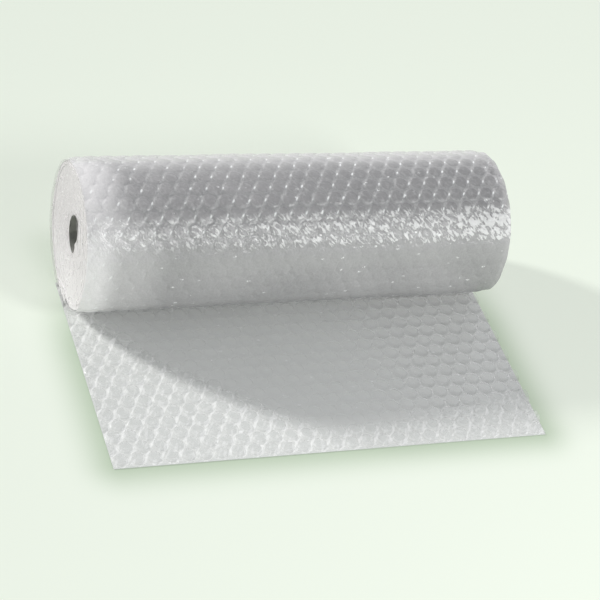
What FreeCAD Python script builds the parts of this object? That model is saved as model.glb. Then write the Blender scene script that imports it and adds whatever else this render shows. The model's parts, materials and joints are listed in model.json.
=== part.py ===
"""A roll of bubble film at rest, with its free end laid out flat in front of it.

One web of film is wound on itself with no core. Its first edge lies in the open middle, each layer
climbs one step onto the layer below it, and the outermost layer runs from the front, over the top and
down the back, and leaves under the roll as the free end. Pressed bubbles show on the outside as low
pillows through the flat backing film. On the free end the bubbles stand up, because the backing lies
on the floor.

X runs along the roll, -Y is the way the free end lies and Z is up. The origin is on the floor under the
roll's axis, half-way along it. All lengths are in millimetres and all angles in degrees.
"""

import FreeCAD, Part
import math
import os

from FreeCAD import Placement, Rotation, Vector

# Driving sizes: alias in the spreadsheet, value, what it measures.
DRIVING_SIZES = (
    ("film_width", 300.0, "width of the web, along the roll"),
    ("bubble_pitch", 11.1, "from one bubble to the next in a row"),
    ("backing_thickness", 1.0, "film between the free bubbles"),
    ("bubble_height", 3.6, "free bubbles, above the backing"),
    ("layer_thickness", 3.8, "one wound layer with its bubbles pressed"),
    ("layer_gap", 0.4, "air between two wound layers"),
    ("layer_count", 9, "layers from the open middle to the outside"),
    ("hole_radius", 13.0, "open middle of the roll"),
    ("pillow_depth", 1.0, "valleys between the pillows on the outside"),
    ("flat_depth", 0.8, "height that the soft roll loses where it rests"),
    ("step_sweep", 80.0, "angle over which a layer climbs onto the next"),
    ("step_lean", 10.0, "angle from the lowest line of the roll to the step"),
    ("tail_length", 163.0, "free end, from under the axis to the cut edge"),
    ("crease_clearance", 3.0, "air between the first free bubbles and the roll"),
)

# Angles of a layer's section, seen from +X with Y to the right: 0 is the back, 90 the top.
BOTTOM = -90.0
FULL_TURN = 360.0
# Rows of a lattice of round bubbles lie closer than the bubbles of a row.
ROW_RATIO = math.sqrt(3.0) / 2.0
# Between two rows, a hexagonal cell's tip reaches this share of the row spacing, and its shoulder half.
TIP_SHARE = 2.0 / 3.0
SHOULDER_SHARE = 1.0 / 3.0
SAME_POINT_DIGITS = 6


def make_sheet(doc):
    """Put the driving sizes in a spreadsheet, one row each."""
    sheet = doc.addObject("Spreadsheet::Sheet", "sizes")
    for row, (alias, value, meaning) in enumerate(DRIVING_SIZES, start=1):
        sheet.set(f"A{row}", alias)
        sheet.set(f"B{row}", str(value))
        sheet.set(f"C{row}", meaning)
        sheet.setAlias(f"B{row}", alias)
    doc.recompute()
    return sheet


class Winding:
    """Section of the wound film, as tangent arcs about three centres that every layer shares."""

    def __init__(self, sheet):
        self.rise = sheet.layer_thickness + sheet.layer_gap
        self.layers = int(sheet.layer_count)
        self.radius = sheet.hole_radius + self.layers * self.rise - sheet.layer_gap
        self.axis_height = self.radius - sheet.flat_depth
        self.axis = Vector(0, 0, self.axis_height)
        self.thickness = sheet.layer_thickness
        self.hole_radius = sheet.hole_radius
        self.step_foot = BOTTOM - sheet.step_lean
        self.step_head = self.step_foot - sheet.step_sweep
        self.flat_half = math.sqrt(self.radius ** 2 - self.axis_height ** 2)
        self.shift = self.step_shift(sheet.step_sweep)

    def step_shift(self, sweep):
        """How far the two centres of a step lie from the axis, for arcs that meet as tangents."""
        bend = 1.0 - math.cos(math.radians(sweep))
        return self.rise * (1.0 + math.sqrt(1.0 - bend / 2.0)) / bend

    def round_arc(self, layer, lift, first, last):
        """Stretch of a layer about the axis: the layer's inner face, lifted outwards."""
        return Arc(self.axis, self.hole_radius + layer * self.rise + lift, first, last)

    def step_arcs(self, layer, lift):
        """The two arcs by which a layer climbs one rise, from the step's foot to its head."""
        inner = self.hole_radius + layer * self.rise + lift
        foot_centre = self.axis - direction(self.step_foot) * self.shift
        head_centre = self.axis + direction(self.step_head) * self.shift
        apart = head_centre - foot_centre
        meeting = math.degrees(math.atan2(apart.z, apart.y))
        while meeting > self.step_foot:
            meeting -= FULL_TURN
        foot = Arc(foot_centre, inner + self.shift, self.step_foot, meeting)
        head = Arc(head_centre, inner + self.rise - self.shift, meeting, self.step_head)
        return [foot, head]

    def layer_arcs(self, layer, lift):
        """One whole layer, from the step's head round to the next layer's start."""
        start = self.step_head + FULL_TURN
        return [self.round_arc(layer, lift, start, self.step_foot)] + self.step_arcs(layer, lift)

    def inner_wall(self):
        """Inside of the film, from its first edge to where the free end leaves the roll."""
        arcs = []
        for layer in range(self.layers - 1):
            arcs += self.layer_arcs(layer, 0.0)
        start = self.step_head + FULL_TURN
        return arcs + [self.round_arc(self.layers - 1, 0.0, start, BOTTOM)]

    def covered_wall(self):
        """Outside of the film where another layer covers it, up to the crease above the free end."""
        arcs = []
        for layer in range(self.layers - 2):
            arcs += self.layer_arcs(layer, self.thickness)
        start = self.step_head + FULL_TURN
        return arcs + [self.round_arc(self.layers - 2, self.thickness, start, self.step_foot)]

    def open_wall(self):
        """Outside of the film where it shows: the last step, then the round to the flat spot's back."""
        flat_back = BOTTOM + math.degrees(math.asin(self.flat_half / self.radius))
        start = self.step_head + FULL_TURN
        last = self.round_arc(self.layers - 1, self.thickness, start, flat_back)
        return self.step_arcs(self.layers - 2, self.thickness) + [last]


class Arc:
    """Arc in the section plane that turns clockwise, from angle first down to angle last."""

    def __init__(self, centre, radius, first, last):
        self.centre = centre
        self.radius = radius
        self.first = first
        self.last = last
        self.length = radius * math.radians(first - last)

    def point(self, angle, lift=0.0):
        return self.centre + direction(angle) * (self.radius + lift)

    def at(self, distance, lift):
        """Point at a distance along the arc, lifted outwards from it."""
        return self.point(self.first - math.degrees(distance / self.radius), lift)

    def edge(self, across):
        """The arc as an edge at one place across the film."""
        aside = Vector(across, 0, 0)
        angles = (self.first, (self.first + self.last) / 2.0, self.last)
        return Part.Arc(*[self.point(angle) + aside for angle in angles]).toShape()


def direction(angle):
    """Unit vector in the section plane."""
    return Vector(0, math.cos(math.radians(angle)), math.sin(math.radians(angle)))


def along_arcs(arcs, distance, lift):
    """Point at a distance along a chain of arcs, lifted outwards."""
    for arc in arcs[:-1]:
        if distance <= arc.length:
            return arc.at(distance, lift)
        distance -= arc.length
    return arcs[-1].at(distance, lift)


class BubbleField:
    """Hexagonal cells over a stretch of film, in plan: across the film and along it.

    Each cell is a low pyramid: its middle is the top of a bubble and its six corners lie in the
    valleys. Every other row is shifted by half a pitch, and the slit edges cut its end bubbles in half.
    """

    def __init__(self, width, length, pitch):
        self.half = width / 2.0
        self.columns = max(1, round(width / pitch))
        self.pitch = width / self.columns
        self.rows = max(1, round(length / (self.pitch * ROW_RATIO) - SHOULDER_SHARE))
        self.spacing = length / (self.rows + SHOULDER_SHARE)
        self.length = length
        self.plan = []
        self.tops = []
        self.cells = []
        self.index = {}
        for row in range(self.rows):
            self.add_row(row)
        self.close_line(0, 0.0, self.spacing * SHOULDER_SHARE)
        self.close_line(self.rows - 1, length, length - self.spacing * SHOULDER_SHARE)

    def vertex(self, across, along, top=False):
        key = (round(across, SAME_POINT_DIGITS), round(along, SAME_POINT_DIGITS))
        if key not in self.index:
            self.index[key] = len(self.plan)
            self.plan.append((across, along))
            self.tops.append(top)
        return self.index[key]

    def inside(self, across):
        return abs(across) < self.half + self.pitch / 4.0

    def add_row(self, row):
        along = self.spacing * (TIP_SHARE + row)
        tip = self.spacing * TIP_SHARE
        shoulder = self.spacing * SHOULDER_SHARE
        side = self.pitch / 2.0
        corners = ((0, tip), (side, shoulder), (side, -shoulder), (0, -tip), (-side, -shoulder), (-side, shoulder))
        for across in self.middles(row):
            top = self.vertex(across, along, top=True)
            for (x1, y1), (x2, y2) in zip(corners, corners[1:] + corners[:1]):
                if self.inside(across + x1) and self.inside(across + x2):
                    first = self.vertex(across + x1, along + y1)
                    second = self.vertex(across + x2, along + y2)
                    self.cells.append((top, first, second))

    def middles(self, row):
        """Places of a row's bubbles across the film."""
        shift = 0.0 if row % 2 else 0.5
        count = self.columns + row % 2
        return [(column + shift) * self.pitch - self.half for column in range(count)]

    def close_line(self, row, line, notch_line):
        """Fill the notches of an end row, so that the field ends in a straight line."""
        for notch in self.middles(row + 1):
            left = max(notch - self.pitch / 2.0, -self.half)
            right = min(notch + self.pitch / 2.0, self.half)
            ends = (self.vertex(left, line), self.vertex(right, line))
            self.cells.append((self.vertex(notch, notch_line),) + ends)

    def faces(self, place, low, high):
        """One flat face for each side of each cell, at the places that place() gives."""
        points = [
            place(across, along, high if top else low)
            for (across, along), top in zip(self.plan, self.tops)
        ]
        return [polygon([points[i] for i in cell]) for cell in self.cells]

    def line(self, along):
        """Places across the film of the points on an end line."""
        return sorted(across for across, place in self.plan if abs(place - along) < self.spacing / 10.0)

    def slit(self, low, high):
        """The slit edge of the field: distance along and height of each of its points."""
        edge = [
            (along, high if top else low)
            for (across, along), top in zip(self.plan, self.tops)
            if abs(across + self.half) < self.pitch / 10.0
        ]
        return sorted(edge)


def polygon(points):
    """Flat face through the points."""
    return Part.Face(Part.makePolygon(points + points[:1]))


def chain(points):
    """Straight edges from each point to the next."""
    return [Part.LineSegment(a, b).toShape() for a, b in zip(points, points[1:])]


def strip(near, near_line, far, far_line):
    """Flat face between two lines across the film, each given by its section point and its places."""
    points = [near + Vector(across, 0, 0) for across in near_line]
    points += [far + Vector(across, 0, 0) for across in reversed(far_line)]
    return polygon(points)


def make_film(sheet):
    """The whole web of film as one solid."""
    winding = Winding(sheet)
    width = sheet.film_width
    half = width / 2.0
    sides = (-half, half)
    backing = sheet.backing_thickness
    bubble_top = backing + sheet.bubble_height
    valley = -sheet.pillow_depth

    # The free bubbles start where the roll's underside has risen clear of their tops.
    open_arcs = winding.open_wall()
    under_radius = winding.radius - winding.rise
    drop = winding.axis_height - bubble_top - sheet.crease_clearance
    first_bubbles = math.sqrt(max(under_radius ** 2 - drop ** 2, 0.0))
    first_tips = sheet.bubble_pitch * ROW_RATIO * TIP_SHARE
    tail_start = max(first_bubbles - first_tips, sheet.layer_thickness)

    skin_length = sum(arc.length for arc in open_arcs)
    inset = sheet.pillow_depth
    pillows = BubbleField(width, skin_length - inset, sheet.bubble_pitch)
    bubbles = BubbleField(width, sheet.tail_length - tail_start, sheet.bubble_pitch)

    def on_roll(across, along, lift):
        return along_arcs(open_arcs, along, lift) + Vector(across, 0, 0)

    def on_floor(across, along, height):
        return Vector(across, -tail_start - along, height)

    # Section points, in order round the film from the cut edge, back under the roll.
    cut_low = Vector(0, -sheet.tail_length, 0)
    cut_high = Vector(0, -sheet.tail_length, backing)
    flat_back = Vector(0, winding.flat_half, 0)
    skin_back = on_roll(0, pillows.length, valley)
    skin_front = on_roll(0, 0, valley)
    covered = winding.covered_wall()
    crease = covered[-1].point(covered[-1].last)
    inner = winding.inner_wall()
    first_edge = (covered[0].point(covered[0].first), inner[0].point(inner[0].first))
    leaving = inner[-1].point(inner[-1].last)
    tail_top = Vector(0, -tail_start, leaving.z)
    tail_foot = Vector(0, -tail_start, backing)

    faces = pillows.faces(on_roll, valley, 0.0)
    faces += bubbles.faces(on_floor, backing, bubble_top)
    faces.append(strip(cut_low, sides, flat_back, sides))
    faces.append(strip(flat_back, sides, skin_back, pillows.line(pillows.length)))
    faces.append(strip(skin_front, pillows.line(0.0), crease, sides))
    faces.append(strip(first_edge[0], sides, first_edge[1], sides))
    faces.append(strip(leaving, sides, tail_top, sides))
    faces.append(strip(tail_top, sides, tail_foot, bubbles.line(0.0)))
    faces.append(strip(cut_high, bubbles.line(bubbles.length), cut_low, sides))
    for arc in covered + inner:
        faces.append(arc.edge(-half).extrude(Vector(width, 0, 0)))

    skin_slit = [on_roll(0, along, lift) for along, lift in pillows.slit(valley, 0.0)]
    tail_slit = [on_floor(0, along, height) for along, height in bubbles.slit(backing, bubble_top)]
    section = chain([cut_low, flat_back] + skin_slit[::-1] + [crease])
    section += [arc.edge(0.0) for arc in reversed(covered)]
    section += chain(first_edge)
    section += [arc.edge(0.0) for arc in inner]
    section += chain([leaving, tail_top] + tail_slit + [cut_low])
    for side in sides:
        wire = Part.Wire([edge.translated(Vector(side, 0, 0)) for edge in section])
        faces.append(Part.Face(wire))

    film = Part.makeSolid(Part.makeShell(faces))
    if film.Volume < 0:
        film.reverse()
    return film


def check(doc, sub_parts):
    """Stop if any object failed or any sub-part isn't one sound solid."""
    for item in doc.Objects:
        if "Invalid" in item.State or "Error" in item.State:
            raise RuntimeError(f"{item.Name} failed: {item.State}")
    for item in sub_parts:
        if item.Shape.isNull() or not item.Shape.isValid() or len(item.Shape.Solids) != 1:
            raise RuntimeError(f"{item.Label} isn't one sound solid")


def main():
    doc = FreeCAD.newDocument("bubble_film_roll")
    sheet = make_sheet(doc)

    film = doc.addObject("Part::Feature", "film")
    film.Label = "bubble_film"
    film.Shape = make_film(sheet)
    film.Placement = Placement(Vector(0, 0, 0), Rotation())

    doc.recompute()
    check(doc, [film])
    os.makedirs("parts", exist_ok=True)
    film.Shape.exportStep(os.path.join("parts", film.Label + ".step"))
    box = film.Shape.BoundBox
    print(f"{film.Label}: {len(film.Shape.Faces)} faces, {film.Shape.Volume / 1000.0:.1f} cm3")
    print(f"box {box.XLength:.1f} x {box.YLength:.1f} x {box.ZLength:.1f} mm")


main()
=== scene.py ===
"""Looks of a coreless roll of clear bubble film, laid on its side with its free end spread in front.

The web is dressed piece by piece: the layers wound inside, the outer layer with its pillows, the cut
edges of all layers at both ends, the bubbles that line the open middle, and the free end with its
bubbles up. Everything is in metres, X along the roll, -Y the way the free end lies, Z up.
"""

import json
import math

import bpy
import numpy as np
from bpy.props import FloatProperty, FloatVectorProperty, IntProperty, PointerProperty
from mathutils import Matrix, Vector


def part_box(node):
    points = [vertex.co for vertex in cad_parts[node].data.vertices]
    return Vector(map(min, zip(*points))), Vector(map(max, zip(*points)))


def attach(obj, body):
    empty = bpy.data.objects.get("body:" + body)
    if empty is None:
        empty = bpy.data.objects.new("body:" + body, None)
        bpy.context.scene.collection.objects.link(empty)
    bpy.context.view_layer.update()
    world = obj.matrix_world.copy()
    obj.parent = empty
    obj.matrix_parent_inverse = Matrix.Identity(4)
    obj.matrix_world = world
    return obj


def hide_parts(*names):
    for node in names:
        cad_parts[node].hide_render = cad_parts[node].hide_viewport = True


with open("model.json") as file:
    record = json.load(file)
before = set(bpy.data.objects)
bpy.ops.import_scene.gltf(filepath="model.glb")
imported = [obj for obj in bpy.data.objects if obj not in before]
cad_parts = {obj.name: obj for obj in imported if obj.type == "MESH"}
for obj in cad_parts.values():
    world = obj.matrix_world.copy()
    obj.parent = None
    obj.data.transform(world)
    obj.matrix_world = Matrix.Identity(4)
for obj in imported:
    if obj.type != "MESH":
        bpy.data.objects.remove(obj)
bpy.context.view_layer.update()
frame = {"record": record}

bl_info = {
    "name": "Bubble Film Roll",
    "version": (1, 0, 0),
    "blender": (4, 5, 0),
    "location": "View3D > Sidebar > Film",
    "description": "Builds the looks of a roll of bubble film with its free end laid out",
    "category": "Object",
}

FILM = "bubble_film"
BODY = "root"

FILM_LOW, FILM_HIGH = (Vector(corner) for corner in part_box(FILM))
MOUNTS = {mount["name"]: mount for mount in frame["record"]["mounts"]}
FILM_WIDTH = FILM_HIGH.x - FILM_LOW.x
AXIS_HEIGHT = MOUNTS["bore"]["pos_m"][2]
HOLE_RADIUS = MOUNTS["bore"]["dims"]["r_mm"] / 1000.0
TAIL_LENGTH = -FILM_LOW.y
COLUMNS = 27
# Wall of the open middle behind its bubbles' tops.
MIDDLE_RADIUS = HOLE_RADIUS + 0.0011
# The roll's sag, fullness and curled rims fade out inwards between these radii.
FULL_RADIUS = 0.0489
CALM_RADIUS = HOLE_RADIUS * 1.5
# The slack first turns lie within this radius, with a notch at one turn.
SLACK_RADIUS = HOLE_RADIUS * 1.9
NOTCH_TURN = 197.0
NOTCH_WIDTH = 12.0
NOTCH_DEPTH = 0.17
# The ends' milky depth rests on the floor where the roll is lower than this.
FOOT_HEIGHT = 0.009
FOOT_LIFT = 0.0004
# Height of the film's backing as a share of where its bubbles stand.
BACKING_SHARE = 0.6

# What the meshes tell the materials: how clearly the bubble pattern is painted, fainter where the
# light falls otherwise; how much glow is painted; how crumpled the film is, with painted highlight
# strokes on its folds; and how raised, lower in the free end's shade.
SHARES = ("clarity", "milk", "crumple", "relief")
# Rows of a lattice of round bubbles lie closer than the bubbles of a row.
ROW_RATIO = math.sqrt(3.0) / 2.0
# From a bubble's middle to the tip of its six-sided cell, in row spacings.
TIP_SHARE = 2.0 / 3.0
# Whites of the painted small reflections and of the painted highlight strokes on the folds.
GLINT_WHITE = (0.95, 0.96, 0.96)
HIGHLIGHT_WHITE = (0.93, 0.93, 0.93)
# The floor as the camera sees it, paler than what lights the film.
FLOOR_SEEN = (0.905, 0.965, 0.87)
# The floor's soft shade starts this far inside the film's box in plan, and fades over this reach.
SHADE_INSET = 0.006
SHADE_REACH = 0.045
# Ways and places of the lamps.
WINDOW_WAY = Vector((1.6, -1.15, -0.85))
FRONT_PLACE = Vector((0.67, -1.05, 0.84))
FRONT_TARGET = Vector((0.05, 0.0, 0.06))
# Angles of the roll's section, where 0 is the back and 90 the top.
BOTTOM = -90.0
FULL_TURN = 360.0
# The photograph's frame, which the fitted focal length is in pixels of.
FRAME_PIXELS = 600.0
SENSOR_WIDTH = 36.0


class FilmSizes(bpy.types.PropertyGroup):
    """Sizes of the film that a user would change."""

    bubble_pitch: FloatProperty(
        name="Bubble Pitch", description="From one bubble to the next in a row",
        default=FILM_WIDTH / COLUMNS, unit="LENGTH", precision=4)
    bubble_radius: FloatProperty(
        name="Bubble Radius", description="Radius of a bubble where it meets the backing",
        default=0.005, unit="LENGTH", precision=4)
    bubble_height: FloatProperty(
        name="Bubble Height", description="Free bubbles, above the backing",
        default=0.0036, unit="LENGTH", precision=4)
    backing_lift: FloatProperty(
        name="Backing Lift", description="Top of the film between free bubbles, above the floor",
        default=0.0005, unit="LENGTH", precision=4)
    layer_thickness: FloatProperty(
        name="Layer Thickness", description="One wound layer with its bubbles pressed",
        default=0.0038, unit="LENGTH", precision=4)
    layer_gap: FloatProperty(
        name="Layer Gap", description="Air between two wound layers",
        default=0.0004, unit="LENGTH", precision=4)
    layer_count: IntProperty(
        name="Layers", description="Layers from the open middle to the outside", default=9, min=3)
    free_start: FloatProperty(
        name="Free Start", description="From under the axis to the first row of free bubbles",
        default=0.01284, unit="LENGTH", precision=4)
    pillow_depth: FloatProperty(
        name="Pillow Depth", description="Valleys between the pillows on the outside",
        default=0.0010, unit="LENGTH", precision=4)
    sag: FloatProperty(
        name="Sag", description="How far the soft roll bulges low in front",
        default=0.0035, unit="LENGTH", precision=4)
    fullness: FloatProperty(
        name="Fullness", description="How much thicker the roll is at its left end, on top",
        default=0.0022, unit="LENGTH", precision=4)
    curl: FloatProperty(
        name="Rim Curl", description="How far the film bends in at the roll's ends",
        default=0.0012, unit="LENGTH", precision=4)
    squash: FloatProperty(
        name="Squash", description="Share of the open middle's front half that slack first turns close",
        default=0.6)
    end_recess: FloatProperty(
        name="End Recess", description="From the roll's ends to the milky depth between the layers",
        default=0.0015, unit="LENGTH", precision=4)
    step_sweep: FloatProperty(
        name="Step Sweep", description="Degrees over which a layer climbs onto the next", default=80.0)
    step_lean: FloatProperty(
        name="Step Lean", description="Degrees from the roll's lowest line to the step", default=10.0)
    end_dish: FloatProperty(
        name="End Dish", description="How far the innermost layer's edge lies inside the outermost one's",
        default=0.003, unit="LENGTH", precision=4)


class FilmColours(bpy.types.PropertyGroup):
    """Colours of the film and the floor."""

    clear: FloatVectorProperty(
        name="Clear Film", description="Wound film over a bubble, where it is taut and clear",
        subtype="COLOR", size=3, default=(0.172, 0.172, 0.175), min=0.0, max=1.0)
    land: FloatVectorProperty(
        name="Welded Film", description="Wound film between the bubbles, where both films are welded",
        subtype="COLOR", size=3, default=(0.267, 0.267, 0.27), min=0.0, max=1.0)
    rim: FloatVectorProperty(
        name="Bubble Rim", description="Creased rim round each bubble",
        subtype="COLOR", size=3, default=(0.45, 0.45, 0.453), min=0.0, max=1.0)
    # Painted glow: light that gets in between the layers, painted as whiter film.
    milk: FloatVectorProperty(
        name="Milky Film", description="Film near the lit end, where light gets in between the layers",
        subtype="COLOR", size=3, default=(0.87, 0.855, 0.862), min=0.0, max=1.0)
    depth: FloatVectorProperty(
        name="Deep Layers", description="Wound layers seen through the outer one",
        subtype="COLOR", size=3, default=(0.36, 0.36, 0.363), min=0.0, max=1.0)
    cut: FloatVectorProperty(
        name="Cut Edges", description="Cut edges of the film at the roll's ends",
        subtype="COLOR", size=3, default=(0.67, 0.65, 0.66), min=0.0, max=1.0)
    end: FloatVectorProperty(
        name="Ends", description="Milky depth between the layers at the roll's ends",
        subtype="COLOR", size=3, default=(0.575, 0.55, 0.562), min=0.0, max=1.0)
    middle: FloatVectorProperty(
        name="Open Middle", description="Film round the open middle",
        subtype="COLOR", size=3, default=(0.36, 0.36, 0.335), min=0.0, max=1.0)
    free: FloatVectorProperty(
        name="Free Film", description="Free end between its bubbles",
        subtype="COLOR", size=3, default=(0.655, 0.665, 0.65), min=0.0, max=1.0)
    free_back: FloatVectorProperty(
        name="Free Backing", description="Backing seen through the free end's bubbles",
        subtype="COLOR", size=3, default=(0.735, 0.75, 0.735), min=0.0, max=1.0)
    free_rim: FloatVectorProperty(
        name="Free Rims", description="Ridges and rims between the free end's bubbles",
        subtype="COLOR", size=3, default=(0.80, 0.81, 0.80), min=0.0, max=1.0)
    free_top: FloatVectorProperty(
        name="Free Bubbles", description="Tops of the free end's bubbles",
        subtype="COLOR", size=3, default=(0.52, 0.535, 0.52), min=0.0, max=1.0)
    floor_shade: FloatVectorProperty(
        name="Floor Shade", description="Soft shade on the floor close to the film",
        subtype="COLOR", size=3, default=(0.45, 0.55, 0.41), min=0.0, max=1.0)
    floor: FloatVectorProperty(
        name="Floor", description="Plain pale floor",
        subtype="COLOR", size=3, default=(0.765, 0.83, 0.725), min=0.0, max=1.0)


class StudioSettings(bpy.types.PropertyGroup):
    """Camera and lamps."""

    azimuth: FloatProperty(
        name="Azimuth", description="Camera's turn from looking along +Y, in degrees", default=-27.64)
    elevation: FloatProperty(
        name="Elevation", description="Camera's height in degrees", default=40.34)
    camera_roll: FloatProperty(
        name="Roll", description="Camera's tilt about its own axis, in degrees", default=15.72)
    distance: FloatProperty(
        name="Distance", description="From the camera to what it looks at", default=1.459, unit="LENGTH")
    target: FloatVectorProperty(
        name="Target", description="Point that the camera looks at",
        subtype="TRANSLATION", size=3, default=(0.0287, 0.0, -0.0194))
    focal_pixels: FloatProperty(
        name="Focal Length", description="Focal length in pixels of the photograph", default=2055.0)
    window_strength: FloatProperty(
        name="Window Light", description="Low light from behind on the left", default=3.3)
    front_power: FloatProperty(
        name="Front Light", description="Soft light from the front on the right, in watts", default=12.0)
    sky_strength: FloatProperty(name="Sky", description="Even light from all round", default=0.30)


def sizes():
    """The sizes that the scene holds."""
    return bpy.context.scene.film_sizes


def colours():
    """The colours that the scene holds."""
    return bpy.context.scene.film_colours


# The wound section, as tangent arcs about three centres that every layer shares.


def direction(angle):
    """Unit vector in the section plane, as Y and Z. 0 is the back, 90 the top."""
    turn = np.radians(angle)
    return np.array([np.cos(turn), np.sin(turn)])


class Arc:
    """Arc in the section plane that turns clockwise, from angle first down to angle last."""

    def __init__(self, centre, radius, first, last):
        self.centre = centre
        self.radius = radius
        self.first = first
        self.last = last
        self.length = radius * math.radians(first - last)


class Winding:
    """Arcs of each layer's outer face, the backing film, from the open middle outwards."""

    def __init__(self):
        size = sizes()
        self.layers = size.layer_count
        self.thickness = size.layer_thickness
        self.rise = self.thickness + size.layer_gap
        self.radius = HOLE_RADIUS + self.layers * self.rise - size.layer_gap
        self.axis = np.array([0.0, AXIS_HEIGHT])
        self.step_foot = BOTTOM - size.step_lean
        self.step_head = self.step_foot - size.step_sweep
        self.flat_half = math.sqrt(self.radius ** 2 - AXIS_HEIGHT ** 2)
        bend = 1.0 - math.cos(math.radians(size.step_sweep))
        self.shift = self.rise * (1.0 + math.sqrt(1.0 - bend / 2.0)) / bend

    def layer_arcs(self, layer, last=None):
        """A layer's round stretch and, unless it ends at the angle last, its step."""
        outer = HOLE_RADIUS + layer * self.rise + self.thickness
        start = self.step_head + FULL_TURN
        if last is not None:
            return [Arc(self.axis, outer, start, last)]
        foot_centre = self.axis - direction(self.step_foot) * self.shift
        head_centre = self.axis + direction(self.step_head) * self.shift
        apart = head_centre - foot_centre
        meeting = math.degrees(math.atan2(apart[1], apart[0]))
        while meeting > self.step_foot:
            meeting -= FULL_TURN
        return [
            Arc(self.axis, outer, start, self.step_foot),
            Arc(foot_centre, outer + self.shift, self.step_foot, meeting),
            Arc(head_centre, outer + self.rise - self.shift, meeting, self.step_head),
        ]

    def covered_layers(self):
        """The wound web up to the crease, where the outer layer starts."""
        arcs = []
        for layer in range(self.layers - 2):
            arcs += self.layer_arcs(layer)
        return arcs + self.layer_arcs(self.layers - 2)[:1]

    def first_layer(self):
        return self.layer_arcs(0)

    def all_layers(self):
        """The whole wound web, from its first edge to where the free end leaves."""
        arcs = []
        for layer in range(self.layers - 1):
            arcs += self.layer_arcs(layer)
        return arcs + self.layer_arcs(self.layers - 1, BOTTOM)

    def open_layers(self):
        """What shows from outside: the last step, then the round to the flat spot's back."""
        flat_back = BOTTOM + math.degrees(math.asin(self.flat_half / self.radius))
        return self.layer_arcs(self.layers - 2)[1:] + self.layer_arcs(self.layers - 1, flat_back)


def turn_of(section):
    """Angle about the roll's axis, from 0 at the back, through 90 at the top, up to 360."""
    return np.degrees(np.arctan2(section[:, 1] - AXIS_HEIGHT, section[:, 0])) % FULL_TURN


def placed(across, section):
    """Points in space of wound film, given where they lie across it and in its section.

    The soft roll bulges low in front, is fuller on top at its left end, curls in at its rims, and its
    slack first turns close part of the open middle there.
    """
    size = sizes()
    turn = turn_of(section)
    away = section - np.array([0.0, AXIS_HEIGHT])
    radius = np.hypot(away[:, 0], away[:, 1])
    push = size.sag * smooth(turn, 180.0, 215.0) * smooth(turn, 264.0, 236.0)
    on_top = smooth(turn, 0.0, 40.0) * smooth(turn, 165.0, 120.0)
    push += size.fullness * smooth(across, 0.14, -0.15) * on_top
    push -= size.curl * smooth(np.abs(across), 0.141, 0.150)
    push *= smooth(radius, CALM_RADIUS, FULL_RADIUS)
    moved = away * (1.0 + push / radius)[:, None]
    notch = np.exp(-((turn - NOTCH_TURN) / NOTCH_WIDTH) ** 2)
    slack = (size.squash + NOTCH_DEPTH * notch) * (away[:, 0] < 0.0)
    slack *= smooth(radius, SLACK_RADIUS, HOLE_RADIUS) * smooth(across, -0.11, -0.14)
    moved[:, 0] *= 1.0 - slack
    return np.column_stack([across, moved[:, 0], moved[:, 1] + AXIS_HEIGHT])


def length_of(arcs):
    return sum(arc.length for arc in arcs)


def follow(arcs, along, lift):
    """Section points, as Y and Z, at distances along the arcs, lifted outwards."""
    points = np.empty((len(along), 2))
    start = 0.0
    for arc in arcs:
        inside = along >= start - 1e-9
        angle = arc.first - np.degrees((along[inside] - start) / arc.radius)
        reach = (arc.radius + lift[inside])[:, None]
        points[inside] = arc.centre + reach * direction(angle).T
        start += arc.length
    return points


# The lattice of bubbles, in plan: across the film and along it.


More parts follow.
